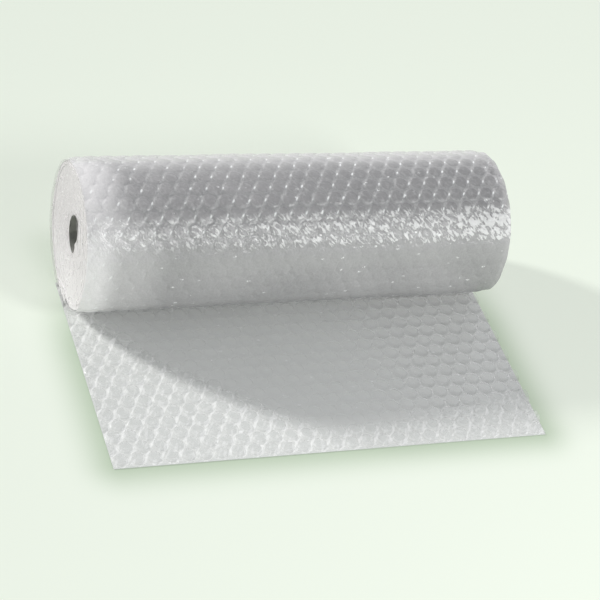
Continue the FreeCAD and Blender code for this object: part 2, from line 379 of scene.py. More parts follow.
class Lattice:
    """Hexagonal lattice of bubbles over a length of film that holds a whole number of rows."""

    def __init__(self, length):
        self.pitch = FILM_WIDTH / max(1, round(FILM_WIDTH / sizes().bubble_pitch))
        self.rows = max(1, round(length / (self.pitch * ROW_RATIO) - 1.0 / 3.0))
        self.spacing = length / (self.rows + 1.0 / 3.0)
        self.length = length

    def nearest(self, plan):
        """For each plan point: distance from the nearest bubble's middle, and its column and row."""
        best = None
        for odd in (0, 1):
            column = np.round((plan[:, 0] + FILM_WIDTH / 2.0) / self.pitch - 0.5 + 0.5 * odd)
            row = 2.0 * np.round((plan[:, 1] / self.spacing - TIP_SHARE - odd) / 2.0) + odd
            across = plan[:, 0] + FILM_WIDTH / 2.0 - (column + 0.5 - 0.5 * odd) * self.pitch
            along = plan[:, 1] - (row + TIP_SHARE) * self.spacing
            found = (np.hypot(across, along * self.pitch * ROW_RATIO / self.spacing), column, row)
            if best is None:
                best = found
            else:
                closer = found[0] < best[0]
                best = tuple(np.where(closer, new, old) for new, old in zip(found, best))
        return best

    def reach(self, plan):
        """Distance from the nearest bubble's middle, as a share of a bubble's radius."""
        return self.nearest(plan)[0] / sizes().bubble_radius

    def chance(self, plan, salt):
        """A number from 0 to 1 for each plan point's bubble."""
        column, row = self.nearest(plan)[1:]
        wave = np.sin(column * 12.9898 + row * 78.233 + salt * 37.719) * 43758.5453
        return wave - np.floor(wave)

    def uv(self, plan):
        """Plan points in pitches, as the materials read them."""
        across = (plan[:, 0] + FILM_WIDTH / 2.0) / self.pitch
        along = plan[:, 1] / self.spacing * ROW_RATIO
        return np.stack([across, along], axis=1)

    def cells(self, across_range, along_range, rings, segments):
        """Plan points and triangles of all cells in the ranges, each in rings round its bubble."""
        theta = np.arange(segments) * 2.0 * math.pi / segments
        round_way = np.stack([np.cos(theta), np.sin(theta)], axis=1)
        side = (theta + math.pi / 6.0) % (math.pi / 3.0) - math.pi / 6.0
        hexagon = (self.pitch / 2.0 / np.cos(side))[:, None] * round_way
        radius = sizes().bubble_radius
        template = [np.zeros((1, 2))] + [ring * radius * round_way for ring in rings] + [hexagon]
        template = np.concatenate(template)
        template[:, 1] *= self.spacing / (self.pitch * ROW_RATIO)
        triangles = ring_triangles(len(rings) + 1, segments)

        low, high = along_range
        first_row = math.floor(low / self.spacing - TIP_SHARE)
        last_row = math.ceil(high / self.spacing - TIP_SHARE)
        middles = []
        for row in range(first_row, last_row + 1):
            shift = 0.5 if row % 2 == 0 else 0.0
            for column in range(-1, round(FILM_WIDTH / self.pitch) + 2):
                across = (column + shift) * self.pitch - FILM_WIDTH / 2.0
                if across_range[0] - self.pitch < across < across_range[1] + self.pitch:
                    middles.append((across, (row + TIP_SHARE) * self.spacing))
        plan = (np.array(middles)[:, None, :] + template[None]).reshape(-1, 2)
        count = len(template)
        faces = (np.arange(len(middles))[:, None, None] * count + triangles[None]).reshape(-1, 3)
        plan[:, 0] = np.clip(plan[:, 0], *across_range)
        plan[:, 1] = np.clip(plan[:, 1], low, high)
        return merge(plan, faces)


def ring_triangles(ring_count, segments):
    """Triangles of a fan about point 0 and of the strips between rings of points after it."""
    spokes = np.arange(segments)
    following = (spokes + 1) % segments
    found = [np.stack([np.zeros_like(spokes), 1 + spokes, 1 + following], axis=1)]
    for ring in range(ring_count - 1):
        inner = 1 + ring * segments
        outer = inner + segments
        found.append(np.stack([inner + spokes, outer + spokes, outer + following], axis=1))
        found.append(np.stack([inner + spokes, outer + following, inner + following], axis=1))
    return np.concatenate(found)


def merge(plan, faces):
    """Join points at the same place and drop faces with no area in plan."""
    keys = np.round(plan * 1e7).astype(np.int64)
    first, inverse = np.unique(keys, axis=0, return_index=True, return_inverse=True)[1:]
    plan = plan[first]
    faces = inverse.reshape(-1)[faces]
    a, b, c = (plan[faces[:, corner]] for corner in range(3))
    area = np.abs((b[:, 0] - a[:, 0]) * (c[:, 1] - a[:, 1]) - (c[:, 0] - a[:, 0]) * (b[:, 1] - a[:, 1]))
    faces = faces[area > 1e-11]
    used = np.unique(faces)
    order = np.full(len(plan), -1)
    order[used] = np.arange(len(used))
    return plan[used], order[faces]


def ripples(plan, shortest, longest, count, seed):
    """Smooth unevenness from -1 to 1, as crossing waves of seeded direction and length."""
    rng = np.random.default_rng(seed)
    total = np.zeros(len(plan))
    for _ in range(count):
        angle, phase = rng.uniform(0.0, 2.0 * math.pi, 2)
        length = rng.uniform(shortest, longest)
        way = plan[:, 0] * math.cos(angle) + plan[:, 1] * math.sin(angle)
        total += np.sin(way * 2.0 * math.pi / length + phase)
    return total / math.sqrt(count)


def smooth(value, low, high):
    """Smooth step from 0 at low to 1 at high."""
    share = np.clip((value - low) / (high - low), 0.0, 1.0)
    return share * share * (3.0 - 2.0 * share)


# Shader node groups and materials.


def new_group(name, inputs, outputs):
    """An empty shader node group with its sockets, where all outputs are values, and its end nodes."""
    group = bpy.data.node_groups.new(name, "ShaderNodeTree")
    for label, kind, value in inputs:
        socket = group.interface.new_socket(label, in_out="INPUT", socket_type=kind)
        if value is not None:
            socket.default_value = value
    for label in outputs:
        group.interface.new_socket(label, in_out="OUTPUT", socket_type="NodeSocketFloat")
    return group, group.nodes.new("NodeGroupInput"), group.nodes.new("NodeGroupOutput")


def put_out(group, leave, found):
    """Link what a group found to its outputs."""
    for label, socket in found.items():
        group.links.new(socket, leave.inputs[label])
    return group


def feed(tree, socket, value):
    """Link a socket from another one, or give it a value."""
    if isinstance(value, bpy.types.NodeSocket):
        tree.links.new(value, socket)
    else:
        socket.default_value = value


def new_node(tree, kind, inputs=None, **settings):
    """A shader node with its settings, and its inputs from sockets or values."""
    node = tree.nodes.new("ShaderNode" + kind)
    for label, value in settings.items():
        setattr(node, label, value)
    for label, value in (inputs or {}).items():
        feed(tree, node.inputs[label], value)
    return node


def math_node(tree, operation, *values):
    """A Math node's output, for values that are sockets or numbers."""
    return new_node(tree, "Math", dict(enumerate(values)), operation=operation).outputs[0]


def times(tree, first, second):
    return math_node(tree, "MULTIPLY", first, second)


def fused(tree, first, second, added):
    """First times second, plus what is added."""
    return math_node(tree, "MULTIPLY_ADD", first, second, added)


def chosen(tree, closer, first, second):
    """Second where closer is 1, and first where it is 0."""
    return fused(tree, math_node(tree, "SUBTRACT", second, first), closer, first)


def ramp(tree, value, low, high, start=0.0, end=1.0):
    """Map a value smoothly from low..high to start..end."""
    inputs = {"Value": value, "From Min": low, "From Max": high, "To Min": start, "To Max": end}
    return new_node(tree, "MapRange", inputs, interpolation_type="SMOOTHSTEP").outputs["Result"]


def mix_colour(tree, share, first, second):
    """Mix two colours, each a socket or a colour, by a share that is a socket."""
    inputs = {"Factor": share}
    for place, value in ((6, first), (7, second)):
        inputs[place] = value if isinstance(value, bpy.types.NodeSocket) else (*value, 1.0)
    return new_node(tree, "Mix", inputs, data_type="RGBA").outputs[2]


def lattice_group():
    """Masks of a bubble's parts, and a number for each bubble, from the film's own coordinates.

    Disc is the bubble, Rim its edge, Ridge the slanted lines between bubbles, and Spark a point of light
    on a ridge where two bubbles of a row meet.
    """
    name = "bubble_lattice"
    if name in bpy.data.node_groups:
        return bpy.data.node_groups[name]
    inputs = (
        ("Film", "NodeSocketVector", None), ("Radius", "NodeSocketFloat", 0.45),
        ("Slant", "NodeSocketFloat", -1.0))
    outputs = ("Disc", "Rim", "Spark", "Chance", "Ridge")
    group, entry, leave = new_group(name, inputs, outputs)

    # The film drifts a little, which makes the bubbles uneven.
    film = entry.outputs["Film"]
    drift = new_node(group, "TexNoise", {"Scale": 1.3, "Detail": 1.0, "Vector": film})
    uneven = new_node(
        group, "VectorMath", {0: drift.outputs["Color"], 1: (0.15, 0.15, 0.0), 2: film},
        operation="MULTIPLY_ADD")
    centred = new_node(
        group, "VectorMath", {0: uneven.outputs[0], 1: (0.075, 0.075, 0.0)}, operation="SUBTRACT")
    split = new_node(group, "SeparateXYZ", {0: centred.outputs[0]})

    # Even and odd rows are a grid each.
    grids = []
    first_row = TIP_SHARE * ROW_RATIO
    for odd in (0, 1):
        column = math_node(group, "SUBTRACT", split.outputs[0], 0.5 - 0.5 * odd)
        row = math_node(group, "SUBTRACT", split.outputs[1], first_row + ROW_RATIO * odd)
        row = math_node(group, "DIVIDE", row, 2.0 * ROW_RATIO)
        whole_column = math_node(group, "ROUND", column)
        whole_row = math_node(group, "ROUND", row)
        across = math_node(group, "SUBTRACT", column, whole_column)
        along = times(group, math_node(group, "SUBTRACT", row, whole_row), 2.0 * ROW_RATIO)
        square = fused(group, across, across, times(group, along, along))
        distance = math_node(group, "SQRT", square)
        number = fused(group, whole_row, 17.31, whole_column)
        number = math_node(group, "ADD", number, 0.37 * odd)

        # Off the slanted line through the bubble's middle.
        slanted = times(group, times(group, along, entry.outputs["Slant"]), 0.5)
        aside = math_node(group, "ABSOLUTE", fused(group, across, ROW_RATIO, slanted))

        # Off the point between this bubble and the next of its row.
        gap = times(group, math_node(group, "SIGN", across), -0.5)
        gap = math_node(group, "ADD", gap, across)
        wide = math_node(group, "DIVIDE", fused(group, gap, ROW_RATIO, slanted), 0.055)
        steep = times(group, slanted, -2.0 * ROW_RATIO)
        tall = math_node(group, "DIVIDE", fused(group, gap, 0.5, steep), 0.13)
        off_spark = fused(group, tall, tall, times(group, wide, wide))
        grids.append((distance, number, aside, off_spark))

    # The grid with the nearer bubble counts.
    even_grid, odd_grid = grids
    closer = math_node(group, "LESS_THAN", odd_grid[0], even_grid[0])
    nearest = math_node(group, "MINIMUM", even_grid[0], odd_grid[0])
    reach = math_node(group, "DIVIDE", nearest, entry.outputs["Radius"])
    number, aside, off_spark = (
        chosen(group, closer, first, second) for first, second in zip(even_grid[1:], odd_grid[1:]))
    noise = new_node(group, "TexWhiteNoise", {"W": number}, noise_dimensions="1D")
    rim = times(group, ramp(group, reach, 0.78, 0.98), ramp(group, reach, 1.0, 1.2, 1.0, 0.0))
    spark = ramp(group, off_spark, 0.3, 1.6, 1.0, 0.0)
    found = {
        "Disc": ramp(group, reach, 0.74, 1.02, 1.0, 0.0),
        "Rim": rim,
        "Ridge": ramp(group, aside, 0.27, 0.42),
        "Spark": times(group, spark, ramp(group, drift.outputs["Fac"], 0.36, 0.56)),
        "Chance": noise.outputs["Value"],
    }
    return put_out(group, leave, found)


def crinkle_group():
    """Unevenness of thin film.

    Height is its fine creases, Haze a cloudy milkiness, Mottle a fine one, Glint small spots of painted
    light and Stroke a noise drawn out along the slant of its folds, which also places painted highlight
    strokes.
    All but Stroke follow the place in space.
    """
    name = "film_crinkle"
    if name in bpy.data.node_groups:
        return bpy.data.node_groups[name]
    inputs = (
        ("Film", "NodeSocketVector", None), ("Crease Scale", "NodeSocketFloat", 260.0),
        ("Haze Scale", "NodeSocketFloat", 24.0))
    outputs = ("Height", "Haze", "Mottle", "Glint", "Stroke")
    group, entry, leave = new_group(name, inputs, outputs)
    place = new_node(group, "TexCoord").outputs["Object"]
    scale = entry.outputs["Crease Scale"]
    warp = new_node(group, "TexNoise", {"Scale": scale, "Detail": 2.0, "Vector": place})
    ridge = math_node(group, "SUBTRACT", warp.outputs["Fac"], 0.5)
    ridge = times(group, math_node(group, "ABSOLUTE", ridge), -2.0)
    scale = times(group, scale, 2.3)
    fine = new_node(
        group, "TexNoise", {"Scale": scale, "Detail": 1.0, "Distortion": 1.5, "Vector": place})

    # Spots of light, longer along the roll.
    stretch = new_node(group, "VectorMath", {0: place, 1: (0.55, 1.0, 1.0)}, operation="MULTIPLY")
    spots = new_node(group, "TexVoronoi", {"Scale": 150.0, "Vector": stretch.outputs[0]})
    glint = ramp(group, spots.outputs["Distance"], 0.07, 0.14, 1.0, 0.0)
    keep = math_node(group, "GREATER_THAN", fine.outputs["Fac"], 0.5)

    # Folds, and the painted highlight strokes on them, lie on the slant, and are longer than wide.
    tilt = (0.0, 0.0, math.radians(42.0))
    slant = new_node(
        group, "Mapping", {"Rotation": tilt, "Scale": (0.18, 0.42, 1.0), "Vector": entry.outputs["Film"]},
        vector_type="TEXTURE")
    strokes = new_node(group, "TexNoise", {
        "Scale": 1.0, "Detail": 3.5, "Distortion": 0.5, "Vector": slant.outputs["Vector"]})

    haze = new_node(
        group, "TexNoise", {"Scale": entry.outputs["Haze Scale"], "Detail": 4.0, "Vector": place})
    found = {
        "Height": fused(group, fine.outputs["Fac"], 0.5, ridge),
        "Haze": ramp(group, haze.outputs["Fac"], 0.3, 0.7),
        "Mottle": ramp(group, fine.outputs["Fac"], 0.35, 0.70),
        "Glint": times(group, glint, keep),
        "Stroke": strokes.outputs["Fac"],
    }
    return put_out(group, leave, found)


def new_material(name):
    """A material with its Principled shader, the lattice and the crinkle groups placed."""
    material = bpy.data.materials.new(name)
    material.use_nodes = True
    tree = material.node_tree
    shader = tree.nodes["Principled BSDF"]
    shader.inputs["IOR"].default_value = 1.5
    film = new_node(tree, "UVMap", uv_map="film").outputs["UV"]
    lattice = new_node(tree, "Group", node_tree=lattice_group())
    crinkle = new_node(tree, "Group", node_tree=crinkle_group())
    feed(tree, lattice.inputs["Film"], film)
    feed(tree, crinkle.inputs["Film"], film)
    return material, tree, shader, lattice, crinkle


def read_share(tree, label):
    """A share that the mesh holds at each point, such as clarity."""
    return new_node(tree, "Attribute", attribute_type="GEOMETRY", attribute_name=label).outputs["Fac"]


def fold_and_highlight_strokes(tree, crinkle, place):
    """Short slanted folds where the film is crumpled, as bumps and as painted highlight strokes, gathered
    on the part of each bubble in place.
    """
    crumple = read_share(tree, "crumple")
    value = fused(tree, crumple, 0.15, crinkle.outputs["Stroke"])
    value = fused(tree, place, 0.11, value)
    folds_and_highlight = ramp(tree, value, 0.66, 0.76)
    return times(tree, folds_and_highlight, ramp(tree, crumple, 0.0, 0.4))


def film_base(tree, shader, lattice, crinkle, land, clear, rim, milk, highlight_part="Disc"):
    """Colour of the film from its discs, lands, ridges and rims, whiter where a glow is painted, with
    painted glints and sparks.

    The last argument names the part of each bubble where the folds gather, which are painted as white
    highlight strokes. Where that is the ridges, the folds break the ridges up as well.
    """
    # The bubble pattern is painted only as clearly as the mesh asks, fainter where the light falls
    # otherwise.
    clarity = read_share(tree, "clarity")
    vary = fused(tree, lattice.outputs["Chance"], 0.3, 0.7)
    disc = times(tree, lattice.outputs["Disc"], vary)
    disc = times(tree, disc, clarity)
    ridge = times(tree, lattice.outputs["Ridge"], clarity)
    ring = fused(tree, ridge, 0.8, 0.3)
    ring = times(tree, ring, lattice.outputs["Rim"])
    ring = math_node(tree, "MAXIMUM", times(tree, ring, clarity), ridge)
    if highlight_part == "Ridge":
        broken = ramp(tree, crinkle.outputs["Stroke"], 0.40, 0.57)
    else:
        broken = fused(tree, crinkle.outputs["Mottle"], 0.8, 0.2)
    ring = times(tree, ring, broken)
    base = mix_colour(tree, disc, land, clear)
    base = mix_colour(tree, ring, base, rim)
    # Painted highlights: sparks on the ridges and small glints, where the pattern or the painted glow
    # shows.
    pale = fused(tree, read_share(tree, "milk"), 0.7, clarity)
    pale = ramp(tree, pale, 0.12, 0.8)
    glint = times(tree, lattice.outputs["Spark"], pale)
    share = fused(tree, crinkle.outputs["Mottle"], 0.08, read_share(tree, "milk"))
    base = mix_colour(tree, share, base, milk)
    glint = math_node(tree, "MAXIMUM", glint, crinkle.outputs["Glint"])
    base = mix_colour(tree, glint, base, GLINT_WHITE)
    # Painted highlight strokes on the folds.
    folds_and_highlight = fold_and_highlight_strokes(tree, crinkle, lattice.outputs[highlight_part])
    folds_and_highlight = times(tree, folds_and_highlight, 0.7)
    base = mix_colour(tree, folds_and_highlight, base, HIGHLIGHT_WHITE)
    tree.links.new(base, shader.inputs["Base Color"])
    return disc


def light_shadow(tree, alpha, kept):
    """Lower an alpha for shadow rays, because light gets through and round the bubbles."""
    path = new_node(tree, "LightPath")
    share = fused(tree, path.outputs["Is Shadow Ray"], kept - 1.0, 1.0)
    return times(tree, alpha, share)


def unseen_inside(tree, alpha, kept):
    """Lower an alpha where the film is seen from its inner side, where thin film looks clear."""
    side = new_node(tree, "NewGeometry")
    share = fused(tree, side.outputs["Backfacing"], kept - 1.0, 1.0)
    return times(tree, alpha, share)


def add_bump(tree, shader, height, strength, distance):
    bump = new_node(tree, "Bump", {"Strength": strength, "Distance": distance, "Height": height})
    tree.links.new(bump.outputs["Normal"], shader.inputs["Normal"])


def outer_material():
    """Film on the outside of the roll: clear over the bubbles, cloudy where it is welded."""
    colour = colours()
    material, tree, shader, lattice, crinkle = new_material("outer_film")
    crinkle.inputs["Crease Scale"].default_value = 330.0
    disc = film_base(tree, shader, lattice, crinkle, colour.land, colour.clear, colour.rim, colour.milk)
    alpha = fused(tree, disc, -0.30, 0.92)
    haze = fused(tree, crinkle.outputs["Haze"], 0.10, -0.04)
    alpha = math_node(tree, "ADD", alpha, haze)
    alpha = fused(tree, read_share(tree, "milk"), 0.4, alpha)
    tree.links.new(unseen_inside(tree, alpha, 0.25), shader.inputs["Alpha"])
    rough = fused(tree, disc, 0.12, 0.18)
    tree.links.new(rough, shader.inputs["Roughness"])
    more = fused(tree, read_share(tree, "crumple"), 1.2, 0.8)
    height = times(tree, crinkle.outputs["Height"], more)
    folds_and_highlight = fold_and_highlight_strokes(tree, crinkle, lattice.outputs["Disc"])
    height = fused(tree, folds_and_highlight, 0.8, height)
    add_bump(tree, shader, height, 0.5, 0.0006)
    return material


def opaque_material(name, roughness, crease_depth, *tints):
    """Film that lets no light through, from its colours between, over and round bubbles and its milk."""
    material, tree, shader, lattice, crinkle = new_material(name)
    film_base(tree, shader, lattice, crinkle, *tints)
    shader.inputs["Roughness"].default_value = roughness
    add_bump(tree, shader, crinkle.outputs["Height"], 0.4, crease_depth)
    return material


def depth_material():
    """Wound layers under the outer one, with the next layer's rings and a painted glow where the mesh asks
    for it.
    """
    colour = colours()
    return opaque_material(
        "wound_depth", 0.4, 0.0006, colour.depth, colour.clear, colour.land, colour.milk)


def end_material():
    """Milky depth between the layers at the roll's ends."""
    colour = colours()
    return opaque_material("end_depth", 0.5, 0.0006, colour.end, colour.end, colour.end, colour.cut)


def middle_material():
    """Film round the open middle, dark because little light gets between the layers there."""
    colour = colours()
    return opaque_material(
        "middle_film", 0.35, 0.0005, colour.middle, colour.middle, colour.clear, colour.milk)


def free_material():
    """Free end: bubbles up, clear on top and bright at their feet."""
    colour = colours()
    material, tree, shader, lattice, crinkle = new_material("free_film")
    crinkle.inputs["Crease Scale"].default_value = 380.0
    lattice.inputs["Slant"].default_value = 1.0
    lattice.inputs["Radius"].default_value = 0.40
    film_base(
        tree, shader, lattice, crinkle, colour.free, colour.free_top, colour.free_rim, colour.milk, "Ridge")
    alpha = fused(tree, lattice.outputs["Disc"], -0.15, 0.52)
    alpha = times(tree, alpha, read_share(tree, "relief"))
    # Painted sparks, where the glow is painted in the free end's shade, are made opaque enough to show.
    spark = times(tree, lattice.outputs["Spark"], read_share(tree, "milk"))
    alpha = math_node(tree, "MAXIMUM", alpha, times(tree, spark, 2.0))
    alpha = unseen_inside(tree, alpha, 0.0)
    tree.links.new(light_shadow(tree, alpha, 0.12), shader.inputs["Alpha"])
    shader.inputs["Roughness"].default_value = 0.2
    add_bump(tree, shader, crinkle.outputs["Height"], 0.35, 0.0005)
    return material


def backing_material():
    """Backing of the free end, seen through its clear bubbles."""
    colour = colours()
    material, tree, shader, lattice, crinkle = new_material("free_backing")
    lattice.inputs["Slant"].default_value = 1.0
    film_base(
        tree, shader, lattice, crinkle, colour.free_back, colour.free_back, colour.free_back, colour.free)
    shader.inputs["Alpha"].default_value = 0.85
    shader.inputs["Roughness"].default_value = 0.3
    return material


def cut_material():
    """Cut edges of the film at the ends, whitish where they scatter light."""
    colour = colours()
    material, tree, shader, lattice, crinkle = new_material("cut_film")
    film_base(tree, shader, lattice, crinkle, colour.cut, colour.land, colour.rim, colour.milk)
    alpha = fused(tree, crinkle.outputs["Haze"], 0.2, 0.22)
    alpha = unseen_inside(tree, alpha, 0.4)
    tree.links.new(light_shadow(tree, alpha, 0.2), shader.inputs["Alpha"])
    shader.inputs["Roughness"].default_value = 0.25
    add_bump(tree, shader, crinkle.outputs["Height"], 0.4, 0.0005)
    return material


def near_film(tree):
    """How close a place on the floor is to the film's box in plan, less so behind the roll."""
    place = new_node(tree, "TexCoord")
    split = new_node(tree, "SeparateXYZ", {0: place.outputs["Object"]})
    total = None
    for axis in (0, 1):
        middle = (FILM_LOW[axis] + FILM_HIGH[axis]) / 2.0
        half = (FILM_HIGH[axis] - FILM_LOW[axis]) / 2.0
        away = math_node(tree, "SUBTRACT", split.outputs[axis], middle)
        away = math_node(tree, "ABSOLUTE", away)
        away = math_node(tree, "SUBTRACT", away, half - SHADE_INSET)
        away = math_node(tree, "MAXIMUM", away, 0.0)
        square = times(tree, away, away)
        total = square if total is None else math_node(tree, "ADD", total, square)
    near = ramp(tree, math_node(tree, "SQRT", total), 0.0, SHADE_REACH, 1.0, 0.0)
    near = times(tree, near, near)
    in_front = ramp(tree, split.outputs[1], -0.06, 0.01, 1.0, 0.3)
    return times(tree, near, in_front)


def floor_material():
    """Pale floor that looks paler to the camera, and keeps the shadow."""
    material = bpy.data.materials.new("pale_floor")
    material.use_nodes = True
    tree = material.node_tree
    shader = tree.nodes["Principled BSDF"]
    near = times(tree, near_film(tree), 0.9)
    base = mix_colour(tree, near, colours().floor, colours().floor_shade)
    tree.links.new(base, shader.inputs["Base Color"])
    shader.inputs["Roughness"].default_value = 0.9
    shader.inputs["Specular IOR Level"].default_value = 0.1
    paler = mix_colour(tree, near, FLOOR_SEEN, colours().floor_shade)
    glow = new_node(tree, "Emission", {"Color": paler})
    path = new_node(tree, "LightPath")
    share = times(tree, path.outputs["Is Camera Ray"], 0.5)
    mixer = new_node(tree, "MixShader", {"Fac": share, 1: shader.outputs[0], 2: glow.outputs[0]})
    tree.links.new(mixer.outputs[0], tree.nodes["Material Output"].inputs["Surface"])
    return material


# Meshes and pieces.


def make_mesh(name, points, faces, uv, **shares):
    """A smooth mesh with the film's own coordinates, and its shares of what SHARES lists."""
    mesh = bpy.data.meshes.new(name)
    mesh.from_pydata(points.tolist(), [], faces.tolist())
    corners = np.empty(len(mesh.loops), dtype=np.int64)
    mesh.loops.foreach_get("vertex_index", corners)
    layer = mesh.uv_layers.new(name="film")
    layer.data.foreach_set("uv", uv[corners].astype(np.float32).ravel())
    mesh.polygons.foreach_set("use_smooth", np.ones(len(mesh.polygons), dtype=bool))
    for label in SHARES:
        values = np.asarray(shares.get(label, np.zeros(len(points))))
        attribute = mesh.attributes.new(label, "FLOAT", "POINT")
        attribute.data.foreach_set("value", values.astype(np.float32))
    mesh.update()
    return mesh


def soften(mesh, facing, share):
    """Shade a relief as if it were lower, because light passes through the thin film.

    Facing holds the film's own outward direction at each point, and share how much relief stays. It
    is less than 0 where the far inside of a bubble is what the light falls on.
    """
    normals = np.empty(len(mesh.vertices) * 3, dtype=np.float32)
    mesh.vertices.foreach_get("normal", normals)
    normals = normals.reshape(-1, 3)
    straight = np.sum(normals * facing, axis=1, keepdims=True) * facing
    mixed = straight + (normals - straight) * np.asarray(share).reshape(-1, 1)
    mixed /= np.linalg.norm(mixed, axis=1, keepdims=True) + 1e-9
    mesh.normals_split_custom_set_from_vertices(mixed.tolist())


def add_piece(mesh, material):
    """Place a mesh as a piece of the film."""
    piece = bpy.data.objects.new(mesh.name, mesh)
    bpy.context.scene.collection.objects.link(piece)
    mesh.materials.append(material)
    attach(piece, BODY)
    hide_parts(FILM)
    return piece


def joined(parts):
    """Join (points, faces, uv) parts into one."""
    points, faces, uvs, count = [], [], [], 0
    for part_points, part_faces, part_uv in parts:
        points.append(part_points)
        faces.append(part_faces + count)
        uvs.append(part_uv)
        count += len(part_points)
    return np.concatenate(points), np.concatenate(faces), np.concatenate(uvs)


def grid_faces(rows, columns, closed=False):
    """Quads of a grid of points, row by row, closed round the columns if asked."""
    row = np.arange(rows - 1)[:, None]
    last = columns if closed else columns - 1
    column = np.arange(last)[None]
    following = (column + 1) % columns
    quads = [row * columns + column, row * columns + following,
             (row + 1) * columns + following, (row + 1) * columns + column]
    return np.stack([quad.ravel() for quad in quads], axis=1)


def as_triangles(quads):
    return np.concatenate([quads[:, (0, 1, 2)], quads[:, (0, 2, 3)]])


class FILM_OT_wound_layers(bpy.types.Operator):
    """Add the layers wound under the outer one"""

    bl_idname = "film.wound_layers"
    bl_label = "Wound Layers"

    def execute(self, context):
        winding = Winding()
        arcs = winding.open_layers()
        length = length_of(arcs)
        samples = 200
        along = np.linspace(0.0, length, samples)
        clearance = winding.thickness + sizes().layer_gap
        outer = follow(arcs, along, np.full(samples, -clearance))
        around = outer - winding.axis
        angle = np.arctan2(around[:, 1], around[:, 0])
        inner = winding.axis + MIDDLE_RADIUS * np.stack([np.cos(angle), np.sin(angle)], axis=1)
        half = FILM_WIDTH / 2.0 - sizes().end_recess
        dished_half = half - sizes().end_dish
        brim = follow(arcs, along, np.full(samples, -sizes().pillow_depth * 1.4))
        beside_flat = (brim[:, 0] > -sizes().free_start) & (brim[:, 0] < winding.flat_half)
        brim[beside_flat & (brim[:, 1] < FOOT_HEIGHT), 1] = FOOT_LIFT
        self.add_ends(dished_half, inner, half, brim)
        points, uv = [], []
        lattice = Lattice(length)
        for across in (-half, half):
            points.append(placed(np.full(samples, across), outer))
            # The next layer's bubbles don't lie under the outer one's.
            plan = np.column_stack([np.full(samples, across + lattice.pitch * 0.35), along + 0.003])
            uv.append(lattice.uv(plan))
        points, uv = np.concatenate(points), np.concatenate(uv)
        faces = grid_faces(2, samples, closed=True)
        # Painted glow over the left half of the deep layers, where light gets in.
        milk = 0.95 * (points[:, 0] < 0.0)
        mesh = make_mesh("wound_layers", points, faces, uv, clarity=np.full(len(points), 0.3), milk=milk)
        add_piece(mesh, depth_material())
        return {"FINISHED"}

    def add_ends(self, inner_half, inner, outer_half, outer):
        """The milky depth between the layers at both ends, dished towards the middle."""
        material = end_material()
        shares = np.linspace(0.0, 1.0, 12)
        for name, side in (("wound_end_left", -1), ("wound_end_right", 1)):
            points = []
            for share in shares:
                across = side * (inner_half + (outer_half - inner_half) * share)
                section = inner + (outer - inner) * share
                points.append(placed(np.full(len(section), across), section))
            points = np.concatenate(points)
            # Painted glow, whiter low on the ends.
            milk = 0.6 * smooth(points[:, 2], 0.045, 0.010)
            faces = grid_faces(len(shares), len(inner), closed=True)
            if side > 0:
                faces = faces[:, ::-1]
            mesh = make_mesh(name, points, faces, np.zeros((len(points), 2)), milk=milk)
            add_piece(mesh, material)


def roll_shares(plan, section, swell):
    """How clearly the bubble pattern is painted, how much glow is painted, and how crumpled the wound film
    is, with painted highlight strokes, from its place on the roll.
    """
    turn = turn_of(section)
    behind = (turn + 180.0) % FULL_TURN - 180.0

    # The bubble pattern is painted faint on the shaded front, and clear on the top and the back.
    front = smooth(turn, 125.0, 160.0) * smooth(turn, 350.0, 300.0)
    clarity = 1.0 - 0.94 * front

    # A glow of light that gets in between the layers is painted at the left end, a little at the right end,
    # behind, and over the front.
    end_distance = plan[:, 0] + FILM_WIDTH / 2.0
    reach = 0.041 + 0.050 * front + 0.008 * swell
    milk = (0.49 - 0.09 * front) * smooth(end_distance, reach, reach * 0.3)
    milk += (0.27 + 0.30 * front) * smooth(end_distance, 0.032 - 0.006 * front, 0.004)
    milk = np.maximum(milk, 0.3 * smooth(FILM_WIDTH / 2.0 - plan[:, 0], 0.008, 0.002))
    far = 0.76 * smooth(behind, 98.0, 56.0) * smooth(behind, -75.0, -15.0)
    milk = np.maximum(milk, far * (1.0 - front))
    milk = np.maximum(milk, (0.205 + 0.03 * swell) * front)

    # A crumpled band throws the highlight, most of all at the right end: its creases are bumps, and its
    # strokes are painted highlight.
    crumple = smooth(turn, 124.0, 134.0) * smooth(turn, 162.0, 143.0)
    crumple *= 0.35 + 0.4 * smooth(plan[:, 0], -0.10, 0.08) + 0.55 * smooth(plan[:, 0], 0.09, 0.14)
    crumple = np.maximum(crumple, 0.1 * smooth(behind, 20.0, 50.0) * (1.0 - front))
    return clarity * (1.0 - 0.7 * milk) * (1.0 - 0.5 * np.minimum(crumple, 1.0)), milk, crumple


